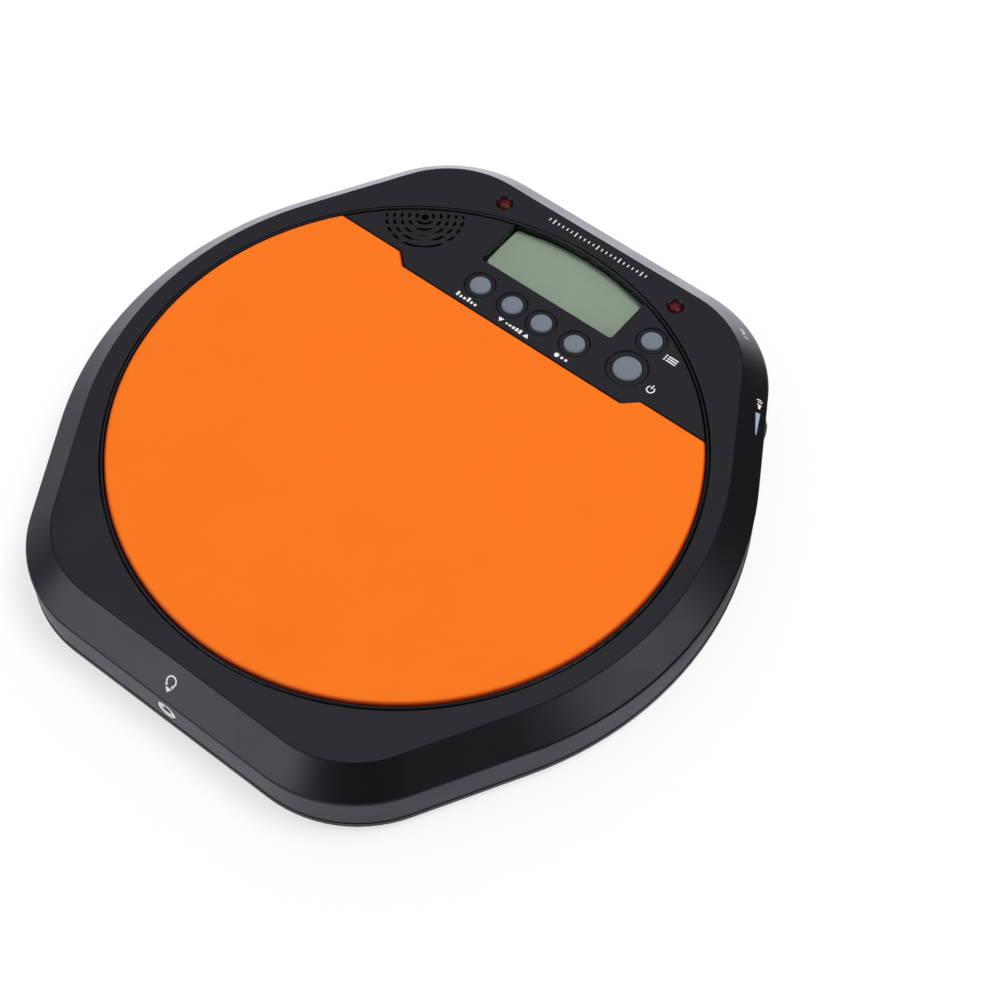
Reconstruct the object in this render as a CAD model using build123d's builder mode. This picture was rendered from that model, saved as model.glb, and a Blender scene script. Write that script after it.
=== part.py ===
from build123d import *
import os
from math import cos, radians, sin

# Electronic drum practice pad: a low body with four slanted flanks, a round rubber playing surface,
# and a control panel that fills the back of the same circle.
# Millimetres. +X is the player's right, +Y points from the player to the control panel, +Z is up.
# The origin is below the middle of the playing surface, on the plane that the feet stand on.

# ------------------------------------------------------------------ driving dimensions
# body outline at the edge of the top face
half_width = 110.0
half_depth = 111.1
side_r = 116.0
corner_r = 36.5
flank_angle = 30.0

# heights
base_z = 2.5
seam_z = 5.7
crease_z = 19.2
top_z = 28.7
pad_top_z = 30.0

# how far the outline grows below the top face
bevel_run = 10.0
seam_grow = 9.7
base_grow = 9.9

wall = 2.5
crease_fillet = 1.6
top_fillet = 0.9
seat_fillet = 0.4
base_fillet = 1.2
deck_grow = -0.9             # outline growth on the underside of the top face
seam_gap = 0.3
lip_height = 2.1
lip_t = 1.5
lip_gap = 0.2

# pocket for the playing surface and the control panel, and the trim ring on the pocket's ledge
pad_r = 101.6
pocket_r = 102.0
ring_r = 103.0
ring_seat_r = 103.3
ring_top_z = 28.95
ring_rounding = 0.42
pocket_z = 22.8
pocket_floor_t = 1.5
pocket_rim_t = 2.4
step_points = [(53.4, 62.2), (48.4, 57.5)]
step_fillet = 1.5
step_back = 0.2
step_gap = 0.5
bulkhead_t = 2.3
far = 140.0

# playing surface stack
pad_t = 4.0
pad_edge_fillet = 1.2
pad_tip_fillet = 1.6
plate_t = 1.2
pickup_place = (0, 10)
pickup_r = 13.5
ceramic_r = 10.0
pickup_t = 0.3
pickup_window_r = 16.0
lead_hole_r = 3.0

# case screws and their bosses
case_screw_places = [(72, 66), (-72, 66), (106, 0), (-106, 0), (40, -100), (-40, -100)]
boss_r = 4.0
boss_z = 8.0
pilot_r = 1.45
pilot_depth = 10.0
post_r = 4.6
screw_r = 1.4
screw_head_r = 2.9
screw_head_t = 1.8
counterbore_r = 3.3
counterbore_depth = 2.2

# feet
foot_places = [(64, 92), (-64, 92), (64, -92), (-64, -92)]
foot_r = 8.0
foot_recess = 1.0

# control panel
panel_t = 2.5
tab_angles = [45, 55, 113, 138]
tab_length = 9.0
tab_width = 8.0
grille_place = (-56.9, 79.8)
grille_tilt = 35.5
grille_first_r = 3.1
grille_pitch = 2.7
grille_rings = 5
grille_slot = 1.0
grille_row_first = -0.75
grille_row_pitch = 3.45
grille_row_slot = 2.1
grille_edge_r = 100.2
grille_dot_r = 1.35
window_half_width = 29.0
window_front_y = 77.5

# keys: name, x, y, cap radius
keys = [
    ("key_rhythm", -21.6, 67.7, 3.95),
    ("key_tempo_down", -7.2, 67.7, 3.95),
    ("key_tempo_up", 5.8, 67.7, 3.95),
    ("key_beat", 20.4, 67.7, 3.95),
    ("key_mode", 40.9, 85.5, 3.95),
    ("key_power", 41.2, 70.6, 5.25),
]
key_top_z = 29.3
key_crown = 0.35
key_rounding = 0.9
key_gap = 0.35
key_flange = 1.1
key_flange_z = 24.6
key_flange_t = 1.2
key_stem_z = 22.9
dish_ratio = 1.5
dish_depth = 0.45
dish_slope = 0.7

# boards and display
board_z = 19.9
board_t = 1.6
mat_t = 0.8
collar_top_z = 23.3
panel_post_places = [(-33.7, 71.5), (31.3, 71.5), (-35.2, 88.0), (50.5, 80.0)]
panel_post_r = 2.5
lcd_half_width = 30.5
lcd_front_y = 75.9
lcd_back_y = 104.4
lcd_z = 22.4
lcd_t = 2.2
lcd_frame_t = 1.2
lcd_window_z = 25.0
lcd_window_t = 1.1

# beat lamps
lamp_places = {"led_left": (-38.4, 103.0), "led_right": (38.4, 103.0)}
lamp_r = 2.55
lamp_crown = 0.8
lamp_flange_r = 2.9
lamp_flange_t = 1.0
lamp_z = 24.0
lamp_top_z = 29.0
lamp_hole_r = 2.8
lamp_hole_chamfer = 0.45
lamp_pitch = 2.54
lamp_leg = 0.6

# loudspeaker
speaker_r = 14.0
gasket_hole_r = 12.3
gasket_t = 1.0
magnet_r = 7.5
magnet_low_z = 14.3
basket_low_z = 19.8
basket_t = 0.7

# volume wheel: its place along the flank and how far it stands out
wheel_along = 30.6
wheel_r = 8.0
wheel_proud = 0.8
wheel_z = 13.9
wheel_t = 3.5
wheel_gap = 0.45
shaft_r = 1.5
shaft_low_z = 10.3
pot_bore_z = 10.0
pot_width = 9.5
pot_depth = 7.0
knurl_teeth = 40
knurl_r = 0.4

# sockets
socket_z = 12.4
plug_r = 1.8
socket_depth = 14.0
socket_width = 11.6
socket_height = 9.0
socket_face = 2.8            # how far the body of the socket lies behind the outside of the wall
socket_barrel_r = 2.9
socket_ring_r = 3.95
ring_clearance = 0.1
ring_face = 0.1
ring_face_t = 0.6
power_bore_r = 2.85
power_pin_r = 1.05
power_barrel_r = 4.0
barrel_clearance = 0.15
power_angle = 60.0
power_width = 9.0
power_half_height = 4.7
# depths behind the outside of the wall: mouth, body's face, bore's end, body's back
power_mouth = 0.3
power_face = 3.1
power_bore_end = 11.5
power_back = 13.2
power_pin_length = 9.5

# small boards: the height of each one's lower side, and its width
volume_board_z = 7.9
volume_board_width = 13.0
power_board_z = 6.1
power_board_width = 14.4
front_board_z = 6.3
headphone_board_width = 23.0
small_board_t = 1.6
board_post_r = 2.0
board_post_pilot_r = 0.8

# battery compartment and door
battery_y = -23.0
bay_half_length = 58.0
bay_half_depth = 23.2
bay_wall = 2.4
bay_top_z = 19.6
bay_roof_t = 1.4
cell_r = 7.25
cell_length = 49.3
cell_nub = 1.2
cell_nub_r = 2.75
cell_pitch = 15.2
cell_z = 12.05
plate_thickness = 0.8
leaf_t = 0.5
leaf_width = 6.0
door_t = 1.8
door_gap = 0.4
door_tab_x = 35.0
door_tab_width = 11.0
door_tab_t = 1.5
door_slot_height = 4.1
latch_x = 9.0
scoop_width = 16.0
scoop_length = 6.0
scoop_depth = 1.2
grip_width = 18.0
grip_pitch = 2.0

# worked-out places
side_x = half_width - side_r
corner_y = half_depth - corner_r
flank_distance = side_r + side_x * cos(radians(flank_angle))
corner_x = (flank_distance - corner_r - corner_y * sin(radians(flank_angle))) / cos(radians(flank_angle))
deck_z = top_z - wall                     # underside of the top face and of the control panel
board_top_z = board_z + board_t
inside_z = base_z + wall                  # upper side of the bottom shell's floor
band_grow = (seam_grow + bevel_run) / 2   # outline growth half-way up the band
door_half_length = bay_half_length + 1.0
door_half_depth = bay_half_depth + 1.0
bottom_up = (Align.CENTER, Align.CENTER, Align.MIN)
back_up = (Align.CENTER, Align.MIN, Align.MIN)


# ------------------------------------------------------------------ shared shapes
def body_outline(grow):
    """The body's outline: two side arcs, four round corners and the straight lines between them."""
    turn = 90 - flank_angle
    with BuildSketch() as outline:
        with BuildLine():
            arcs = [
                CenterArc((side_x, 0), side_r + grow, -flank_angle, 2 * flank_angle),
                CenterArc((corner_x, corner_y), corner_r + grow, flank_angle, turn),
                CenterArc((-corner_x, corner_y), corner_r + grow, 90, turn),
                CenterArc((-side_x, 0), side_r + grow, 180 - flank_angle, 2 * flank_angle),
                CenterArc((-corner_x, -corner_y), corner_r + grow, 180 + flank_angle, turn),
                CenterArc((corner_x, -corner_y), corner_r + grow, 270, turn),
            ]
            for arc, following in zip(arcs, arcs[1:] + arcs[:1]):
                Line(arc @ 1, following @ 0)
        make_face()
    return outline.sketch


def behind_step(back):
    """Everything behind the stepped line between playing surface and control panel."""
    right = [(x, y + back) for x, y in step_points]
    left = [(-x, y) for x, y in reversed(right)]
    side_y = right[0][1]
    with BuildSketch() as region:
        with BuildLine():
            Polyline((far, side_y), *right, *left, (-far, side_y), (-far, far), (far, far), close=True)
        make_face()
        steps = region.vertices().filter_by_position(Axis.Y, 0, side_y + 1)
        fillet(steps.filter_by_position(Axis.X, -far / 2, far / 2), step_fillet)
    return region.sketch


def edges_at(piece, height):
    """The level edges of a piece at one height."""
    return piece.edges().filter_by_position(Axis.Z, height - 0.01, height + 0.01)


def flank_plane(out, along, height):
    """A plane on the right back flank: x runs along the flank, z points out of it."""
    normal = Vector(cos(radians(flank_angle)), sin(radians(flank_angle)), 0)
    tangent = Vector(-normal.Y, normal.X, 0)
    return Plane(origin=normal * out + tangent * along + Vector(0, 0, height), x_dir=tangent, z_dir=normal)


def power_plane(depth, height):
    """A plane in the right back corner: x is level, y is up, z points out of the power socket."""
    normal = Vector(cos(radians(power_angle)), sin(radians(power_angle)), 0)
    place = Vector(corner_x, corner_y, height) + normal * (corner_r + band_grow - depth)
    return Plane(origin=place, x_dir=Vector(-normal.Y, normal.X, 0), z_dir=normal)


def front_plane(depth, height):
    """A plane parallel to the front wall, some depth behind it, with z pointing to the player."""
    return Plane(origin=(0, depth - half_depth - band_grow, height), x_dir=(1, 0, 0), z_dir=(0, -1, 0))


def turning_plane(x, y):
    """An upright plane through an upright axis, for turned pieces: x is the radius, y is the height."""
    return Plane(origin=(x, y, 0), x_dir=(1, 0, 0), z_dir=(0, -1, 0))


def upright(x, y):
    return Axis((x, y, 0), (0, 0, 1))


def small_board_planes():
    """Level planes at the height of the floor, with y pointing out of the case, one for each small board."""
    volume = flank_plane(flank_distance + band_grow, wheel_along, inside_z)
    power = power_plane(0, inside_z)
    front = front_plane(0, inside_z)
    return [
        Plane(origin=plane.origin, x_dir=-plane.x_dir, z_dir=(0, 0, 1))
        for plane in (volume, power, front)
    ]


volume_floor, power_floor, front_floor = small_board_planes()
small_boards = [
    (volume_floor, [(-4, -14.5), (4, -14.5)], volume_board_z),
    (power_floor, [(-5, -15.5), (5, -15.5)], power_board_z),
    (front_floor, [(-9, -8.5), (9, -8.5)], front_board_z),
]
wheel_axis = flank_plane(flank_distance + band_grow + wheel_proud - wheel_r, wheel_along, 0).origin


def finish(piece, name):
    """Label a piece and write it."""
    piece.part.label = name
    export_step(piece.part, f"parts/{name}.step")


# ------------------------------------------------------------------ case
def make_top_shell():
    with BuildPart() as shell:
        for height, grow in ((seam_z, seam_grow), (crease_z, bevel_run), (top_z, 0)):
            with BuildSketch(Plane.XY.offset(height)):
                add(body_outline(grow))
        loft(ruled=True)
        fillet(edges_at(shell, crease_z), crease_fillet)
        fillet(edges_at(shell, top_z), top_fillet)
        inside = ((seam_z - 1, seam_grow - wall), (crease_z - 1, bevel_run - wall), (deck_z, deck_grow))
        for height, grow in inside:
            with BuildSketch(Plane.XY.offset(height)):
                add(body_outline(grow))
        loft(ruled=True, mode=Mode.SUBTRACT)

        # pocket block, bosses and the tabs that carry the control panel
        with BuildSketch(Plane.XY.offset(pocket_z - pocket_floor_t)):
            Circle(pocket_r + pocket_rim_t)
            add(behind_step(step_back + bulkhead_t), mode=Mode.SUBTRACT)
        extrude(amount=deck_z - pocket_z + pocket_floor_t)
        with Locations(*[(x, y, boss_z) for x, y in case_screw_places]):
            Cylinder(boss_r, deck_z - boss_z, align=bottom_up)
        for angle in tab_angles:
            with BuildSketch(Plane.XY.offset(deck_z - wall)):
                with PolarLocations(pocket_r, 1, start_angle=angle):
                    Rectangle(tab_length, tab_width)
            extrude(amount=wall)

        # openings: the trim ring's seat, the pocket, and holes for screws, lamps, wheel and sockets
        with BuildSketch(Plane.XY.offset(deck_z)):
            Circle(ring_seat_r)
        extrude(amount=wall, mode=Mode.SUBTRACT)
        with BuildSketch(Plane.XY.offset(pocket_z)):
            Circle(pocket_r)
            add(behind_step(step_back), mode=Mode.SUBTRACT)
        extrude(amount=top_z - pocket_z, mode=Mode.SUBTRACT)
        with Locations((*pickup_place, pocket_z)):
            Hole(lead_hole_r, depth=2 * pocket_floor_t)
        with Locations(*[(x, y, boss_z) for x, y in case_screw_places]):
            Cylinder(pilot_r, pilot_depth, align=bottom_up, mode=Mode.SUBTRACT)
        with Locations(*[(x, y, top_z) for x, y in lamp_places.values()]):
            Hole(lamp_hole_r, depth=wall + 1)
        with Locations((wheel_axis.X, wheel_axis.Y, wheel_z - wheel_gap)):
            Cylinder(wheel_r + wheel_gap, wheel_t + 2 * wheel_gap, align=bottom_up, mode=Mode.SUBTRACT)
        with BuildSketch(front_plane(0, socket_z)):
            Circle(socket_ring_r + ring_clearance)
        extrude(amount=2 * wall, both=True, mode=Mode.SUBTRACT)
        with BuildSketch(power_plane(0, socket_z)):
            Circle(power_barrel_r + barrel_clearance)
        extrude(amount=2 * wall, both=True, mode=Mode.SUBTRACT)
        rims = edges_at(shell, top_z).filter_by(GeomType.CIRCLE)
        fillet(rims.filter_by(lambda edge: abs(edge.radius - ring_seat_r) < 0.01), seat_fillet)
        chamfer(rims.filter_by(lambda edge: abs(edge.radius - lamp_hole_r) < 0.01), lamp_hole_chamfer)
    finish(shell, "top_shell")


def make_trim_ring():
    """A thin round-topped ring that frames the playing surface and the control panel."""
    with BuildPart() as ring:
        with BuildSketch(Plane.XY.offset(deck_z)):
            Circle(ring_r)
            Circle(pocket_r, mode=Mode.SUBTRACT)
        extrude(amount=ring_top_z - deck_z)
        fillet(edges_at(ring, ring_top_z), ring_rounding)
    finish(ring, "trim_ring")


def make_bottom_shell():
    with BuildPart() as base:
        with BuildSketch(Plane.XY.offset(base_z)):
            add(body_outline(base_grow))
        extrude(amount=seam_z - seam_gap - base_z)
        fillet(edges_at(base, base_z), base_fillet)
        with BuildSketch(Plane.XY.offset(inside_z)):
            add(body_outline(seam_grow - wall - lip_gap))
        extrude(amount=lip_height + 0.4)
        with BuildSketch(Plane.XY.offset(inside_z)):
            add(body_outline(seam_grow - wall - lip_gap - lip_t))
        extrude(amount=lip_height + 1, mode=Mode.SUBTRACT)

        # posts below the bosses of the upper case, with the screw heads sunk from below
        with Locations(*[(x, y, inside_z) for x, y in case_screw_places]):
            Cylinder(post_r, boss_z - 0.3 - inside_z, align=bottom_up)
        with Locations(*[(x, y, base_z) for x, y in case_screw_places]):
            Cylinder(screw_r + 0.3, boss_z, align=bottom_up, mode=Mode.SUBTRACT)
            Cylinder(counterbore_r, counterbore_depth, align=bottom_up, mode=Mode.SUBTRACT)
        with Locations(*[(x, y, base_z) for x, y in foot_places]):
            Cylinder(foot_r + 0.2, foot_recess, align=bottom_up, mode=Mode.SUBTRACT)

        # posts for the three small boards
        for floor, places, low_z in small_boards:
            with BuildSketch(floor):
                with Locations(*places):
                    Circle(board_post_r)
                    Circle(board_post_pilot_r, mode=Mode.SUBTRACT)
            extrude(amount=low_z - inside_z)

        # battery compartment: an opening in the floor, with a box above it
        with BuildSketch(Plane.XY.offset(base_z)):
            with Locations((0, battery_y)):
                Rectangle(2 * (door_half_length + door_gap), 2 * (door_half_depth + door_gap))
        extrude(amount=wall, mode=Mode.SUBTRACT)
        bay_low_z = base_z + door_t + 0.1
        with BuildSketch(Plane.XY.offset(bay_low_z)):
            with Locations((0, battery_y)):
                Rectangle(2 * (bay_half_length + bay_wall), 2 * (bay_half_depth + bay_wall))
        extrude(amount=bay_top_z + bay_roof_t - bay_low_z)
        with BuildSketch(Plane.XY.offset(bay_low_z)):
            with Locations((-bay_half_length / 2 - 0.5, battery_y), (bay_half_length / 2 + 0.5, battery_y)):
                Rectangle(bay_half_length - 1, 2 * bay_half_depth)
        extrude(amount=bay_top_z - bay_low_z, mode=Mode.SUBTRACT)
        with BuildSketch(Plane.XY.offset(bay_top_z - 2)):
            with Locations((0, battery_y)):
                with GridLocations(0, cell_pitch, 1, 2):
                    Rectangle(2 * bay_half_length, 1.0)
        extrude(amount=2)

        # slots in the compartment's front wall for the door's tabs, and a thumb scoop at its back
        slot_y = battery_y - bay_half_depth - bay_wall / 2
        with Locations((-door_tab_x, slot_y, bay_low_z), (door_tab_x, slot_y, bay_low_z)):
            Box(door_tab_width + 2, bay_wall + 0.2, door_slot_height, align=bottom_up, mode=Mode.SUBTRACT)
        with Locations((0, battery_y + bay_half_depth + 5, base_z)):
            Box(scoop_width, scoop_length, scoop_depth, align=bottom_up, mode=Mode.SUBTRACT)
    finish(base, "bottom_shell")


# ------------------------------------------------------------------ control panel and keys
def grille_slots():
    """Concentric slots cut into dashes by straight ribs, kept inside the panel's round edge."""
    with BuildSketch() as rows:
        with Locations(Location((*grille_place, 0), (0, 0, grille_tilt))):
            row_places = [(0, -grille_row_first - row * grille_row_pitch) for row in range(grille_rings)]
            with Locations(*row_places):
                Rectangle(3 * speaker_r, grille_row_slot)
    with BuildSketch() as slots:
        with Locations(Location((*grille_place, 0), (0, 0, grille_tilt))):
            for ring in reversed(range(grille_rings)):
                ring_r = grille_first_r + ring * grille_pitch
                Circle(ring_r + grille_slot / 2)
                Circle(ring_r - grille_slot / 2, mode=Mode.SUBTRACT)
        add(rows.sketch, mode=Mode.INTERSECT)
        with Locations(grille_place):
            Circle(grille_dot_r)
        Circle(grille_edge_r, mode=Mode.INTERSECT)
    return slots.sketch


def window_outline():
    """The display opening: a rectangle with round front corners that runs out through the panel's arc."""
    with BuildSketch() as window:
        with Locations((0, window_front_y)):
            Rectangle(2 * window_half_width, far - window_front_y, align=(Align.CENTER, Align.MIN))
        fillet(window.vertices().group_by(Axis.Y)[0], 1.5)
    return window.sketch


def make_control_panel():
    with BuildPart() as panel:
        with BuildSketch(Plane.XY.offset(deck_z)):
            Circle(pad_r)
            add(behind_step(0), mode=Mode.INTERSECT)
            add(window_outline(), mode=Mode.SUBTRACT)
        extrude(amount=panel_t)
        fillet(edges_at(panel, top_z), 0.3)
        for name, x, y, cap_r in keys:
            with Locations((x, y, deck_z)):
                Cylinder(cap_r + key_gap, panel_t, align=bottom_up, mode=Mode.SUBTRACT)
            dish_r = cap_r * dish_ratio
            with Locations((x, y, top_z - dish_depth)):
                Cone(dish_r - dish_slope, dish_r, dish_depth, align=bottom_up, mode=Mode.SUBTRACT)
        with BuildSketch(Plane.XY.offset(deck_z)):
            add(grille_slots())
        extrude(amount=panel_t, mode=Mode.SUBTRACT)
        # posts below the panel that the main board is screwed to
        with Locations(*[(x, y, board_top_z) for x, y in panel_post_places]):
            Cylinder(panel_post_r, deck_z - board_top_z, align=bottom_up)
            Cylinder(0.9, deck_z - board_top_z, align=bottom_up, mode=Mode.SUBTRACT)
    finish(panel, "control_panel")


def make_key(name, x, y, cap_r):
    """A turned key: stem, flange below the panel, and a cap with a low crown."""
    flange_r = cap_r + key_flange
    stem_r = cap_r - 1.2
    rim_z = key_top_z - key_crown
    with BuildPart() as key:
        with BuildSketch(turning_plane(x, y)):
            with BuildLine():
                Polyline(
                    (0, key_top_z), (0, key_stem_z), (stem_r, key_stem_z), (stem_r, key_flange_z),
                    (flange_r, key_flange_z), (flange_r, key_flange_z + key_flange_t),
                    (cap_r, key_flange_z + key_flange_t), (cap_r, rim_z),
                )
                TangentArc((0, key_top_z), (cap_r, rim_z), tangent=(1, 0))
            make_face()
        revolve(axis=upright(x, y))
        fillet(edges_at(key, rim_z), key_rounding)
    finish(key, name)


def make_key_mat():
    """Silicone mat on the main board, with an open collar round each key's stem."""
    with BuildPart() as mat:
        with BuildSketch(Plane.XY.offset(board_top_z)):
            with BuildLine():
                Polyline((-28, 62), (47.5, 62), (47.5, 91), (35.5, 91), (35.5, 67), (27.5, 67), (27.5, 73),
                         (-28, 73), close=True)
            make_face()
        extrude(amount=mat_t)
        for name, x, y, cap_r in keys:
            with Locations((x, y, board_top_z)):
                Cylinder(cap_r, collar_top_z - board_top_z, align=bottom_up)
        for name, x, y, cap_r in keys:
            with Locations((x, y, board_top_z)):
                Cylinder(cap_r - 0.8, collar_top_z - board_top_z, align=bottom_up, mode=Mode.SUBTRACT)
    finish(mat, "key_mat")


# ------------------------------------------------------------------ playing surface
def round_piece(name, low_z, thickness, inset, edge_fillet=0.0, window=False):
    """A round sheet with the stepped line cut off its back."""
    with BuildPart() as sheet:
        with BuildSketch(Plane.XY.offset(low_z)) as outline:
            Circle(pad_r - inset)
            add(behind_step(-step_gap - inset), mode=Mode.SUBTRACT)
            tips = outline.vertices().filter_by_position(Axis.X, -pad_r, -pad_r / 2)
            tips += outline.vertices().filter_by_position(Axis.X, pad_r / 2, pad_r)
            fillet(tips.filter_by_position(Axis.Y, step_points[0][1] - inset - 2, pad_r).filter_by(
                lambda tip: abs(tip.X) > step_points[0][0] + 10), pad_tip_fillet)
            if window:
                with Locations(pickup_place):
                    Circle(pickup_window_r, mode=Mode.SUBTRACT)
        extrude(amount=thickness)
        if edge_fillet:
            fillet(edges_at(sheet, low_z + thickness), edge_fillet)
    finish(sheet, name)


def make_pickup():
    low_z = pad_top_z - pad_t - plate_t - pickup_t
    for name, radius, z in (("piezo_disc", pickup_r, low_z), ("piezo_ceramic", ceramic_r, low_z - pickup_t)):
        with BuildPart() as disc:
            with Locations((*pickup_place, z)):
                Cylinder(radius, pickup_t, align=bottom_up)
        finish(disc, name)


# ------------------------------------------------------------------ display, board and lamps
def make_display():
    with BuildPart() as window:
        with BuildSketch(Plane.XY.offset(lcd_window_z)):
            with Locations((0, lcd_front_y)):
                Rectangle(2 * lcd_half_width + 1, lcd_back_y - lcd_front_y, align=(Align.CENTER, Align.MIN))
        extrude(amount=lcd_window_t)
    finish(window, "lcd_window")

    with BuildPart() as glass:
        with BuildSketch(Plane.XY.offset(lcd_z)):
            with Locations((0, lcd_front_y)):
                Rectangle(2 * lcd_half_width, lcd_back_y - lcd_front_y, align=(Align.CENTER, Align.MIN))
        extrude(amount=lcd_t)
    finish(glass, "lcd_glass")

    middle_y = (lcd_front_y + lcd_back_y) / 2
    depth = lcd_back_y - lcd_front_y
    with BuildPart() as frame:
        with BuildSketch(Plane.XY.offset(board_top_z)):
            with Locations((0, middle_y)):
                Rectangle(2 * (lcd_half_width + 0.2 + lcd_frame_t), depth + 2 * (0.2 + lcd_frame_t))
                Rectangle(2 * (lcd_half_width + 0.2), depth + 0.4, mode=Mode.SUBTRACT)
        extrude(amount=lcd_window_z - 0.1 - board_top_z)
    finish(frame, "lcd_frame")

    with BuildPart() as strips:
        with BuildSketch(Plane.XY.offset(board_top_z)):
            with Locations((0, middle_y)):
                with GridLocations(0, depth - 4, 1, 2):
                    Rectangle(2 * lcd_half_width - 4, 2.0)
        extrude(amount=lcd_z - board_top_z)
    finish(strips, "lcd_connectors")


def make_main_board():
    with BuildPart() as board:
        with BuildSketch(Plane.XY.offset(board_z)):
            with BuildLine():
                Polyline((-38, 61), (46, 61), (46, 66), (60, 66), (60, 100), (46, 100), (46, 107.5),
                         (-44, 107.5), (-44, 96.5), (-38, 96.5), close=True)
            make_face()
            with Locations(*panel_post_places):
                Circle(1.2, mode=Mode.SUBTRACT)
        extrude(amount=board_t)
    finish(board, "main_board")

    with BuildPart() as chip:
        with Locations((2, 84, board_z - 1.5)):
            Box(14, 14, 1.5, align=bottom_up)
        chamfer(edges_at(chip, board_z - 1.5), 0.3)
    finish(chip, "controller_chip")

    with BuildPart() as capacitors:
        with Locations(*[(x, 95, board_z - 7) for x in (-24, -16, 22, 31)]):
            Cylinder(3.1, 7, align=bottom_up)
        fillet(edges_at(capacitors, board_z - 7), 0.5)
    finish(capacitors, "board_capacitors")

    with BuildPart() as crystal:
        with BuildSketch(Plane.XY.offset(board_z - 3.5)):
            with Locations((20, 80)):
                SlotOverall(11, 4.6)
        extrude(amount=3.5)
    finish(crystal, "board_crystal")


def make_lamps():
    flange_top_z = lamp_z + lamp_flange_t
    shoulder_z = lamp_top_z - lamp_crown
    for name, (x, y) in lamp_places.items():
        with BuildPart() as lamp:
            with BuildSketch(turning_plane(x, y)):
                with BuildLine():
                    Polyline(
                        (0, lamp_top_z), (0, lamp_z), (lamp_flange_r, lamp_z), (lamp_flange_r, flange_top_z),
                        (lamp_r, flange_top_z), (lamp_r, shoulder_z),
                    )
                    TangentArc((0, lamp_top_z), (lamp_r, shoulder_z), tangent=(1, 0))
                make_face()
            revolve(axis=upright(x, y))
        finish(lamp, name)

    with BuildPart() as legs:
        for x, y in lamp_places.values():
            with Locations((x - lamp_pitch / 2, y, board_top_z), (x + lamp_pitch / 2, y, board_top_z)):
                Box(lamp_leg, lamp_leg, lamp_z - board_top_z, align=bottom_up)
    finish(legs, "led_legs")


# ------------------------------------------------------------------ loudspeaker
def turned(name, x, y, outline):
    """A piece turned about an upright axis from a closed outline of radius and height."""
    with BuildPart() as piece:
        with BuildSketch(turning_plane(x, y)):
            with BuildLine():
                Polyline(*outline, close=True)
            make_face()
        revolve(axis=upright(x, y))
    finish(piece, name)


def make_speaker():
    x, y = grille_place
    flange_z = deck_z - gasket_t - 0.8
    turned("speaker_gasket", x, y, [
        (gasket_hole_r, deck_z - gasket_t), (speaker_r, deck_z - gasket_t), (speaker_r, deck_z),
        (gasket_hole_r, deck_z),
    ])
    turned("speaker_basket", x, y, [
        (speaker_r, flange_z), (speaker_r, deck_z - gasket_t), (speaker_r - 3, deck_z - gasket_t),
        (magnet_r + 0.5, basket_low_z + basket_t), (0, basket_low_z + basket_t), (0, basket_low_z),
        (magnet_r + 1, basket_low_z), (speaker_r - 2.6, flange_z),
    ])
    turned("speaker_cone", x, y, [
        (0, 23.3), (2.6, 22.7), (speaker_r - 2.9, deck_z - 0.8), (speaker_r - 2, deck_z - 1),
        (speaker_r - 2, deck_z - 0.6), (speaker_r - 3.1, deck_z - 0.4), (2.8, 23.1), (0, 23.7),
    ])
    turned("speaker_magnet", x, y, [
        (0, magnet_low_z), (magnet_r, magnet_low_z), (magnet_r, basket_low_z), (0, basket_low_z),
    ])


# ------------------------------------------------------------------ volume control
def make_volume_control():
    x, y = wheel_axis.X, wheel_axis.Y
    with BuildPart() as wheel:
        with BuildSketch(Plane.XY.offset(wheel_z)):
            with Locations((x, y)):
                Circle(wheel_r)
                Circle(shaft_r, mode=Mode.SUBTRACT)
                with PolarLocations(wheel_r + 0.1, knurl_teeth):
                    Circle(knurl_r, mode=Mode.SUBTRACT)
        extrude(amount=wheel_t)
    finish(wheel, "volume_wheel")

    with BuildPart() as shaft:
        with Locations((x, y, shaft_low_z)):
            Cylinder(shaft_r, wheel_z + wheel_t - shaft_low_z, align=bottom_up)
    finish(shaft, "volume_shaft")

    pot_z = volume_board_z + small_board_t
    pot_out = wheel_proud - wheel_r
    with BuildPart() as pot:
        with BuildSketch(volume_floor.offset(pot_z - inside_z)):
            with Locations((0, pot_out)):
                Rectangle(pot_width, pot_depth)
        extrude(amount=wheel_z - 0.6 - pot_z)
        with BuildSketch(volume_floor.offset(pot_bore_z - inside_z)):
            with Locations((0, pot_out)):
                Circle(shaft_r + 0.05)
        extrude(amount=wheel_z - pot_bore_z, mode=Mode.SUBTRACT)
    finish(pot, "volume_pot")

    small_board("volume_board", volume_floor, small_boards[0], volume_board_width, -16.5, -3.2)


def small_board(name, floor, board, width, back, front):
    """A small board on its posts: its width, and how far behind the wall's outside it starts and ends."""
    places, low_z = board[1], board[2]
    with BuildPart() as plate:
        with BuildSketch(floor.offset(low_z - inside_z)):
            with Locations((0, (back + front) / 2)):
                Rectangle(width, front - back)
            with Locations(*places):
                Circle(0.95, mode=Mode.SUBTRACT)
        extrude(amount=small_board_t)
    finish(plate, name)


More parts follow.
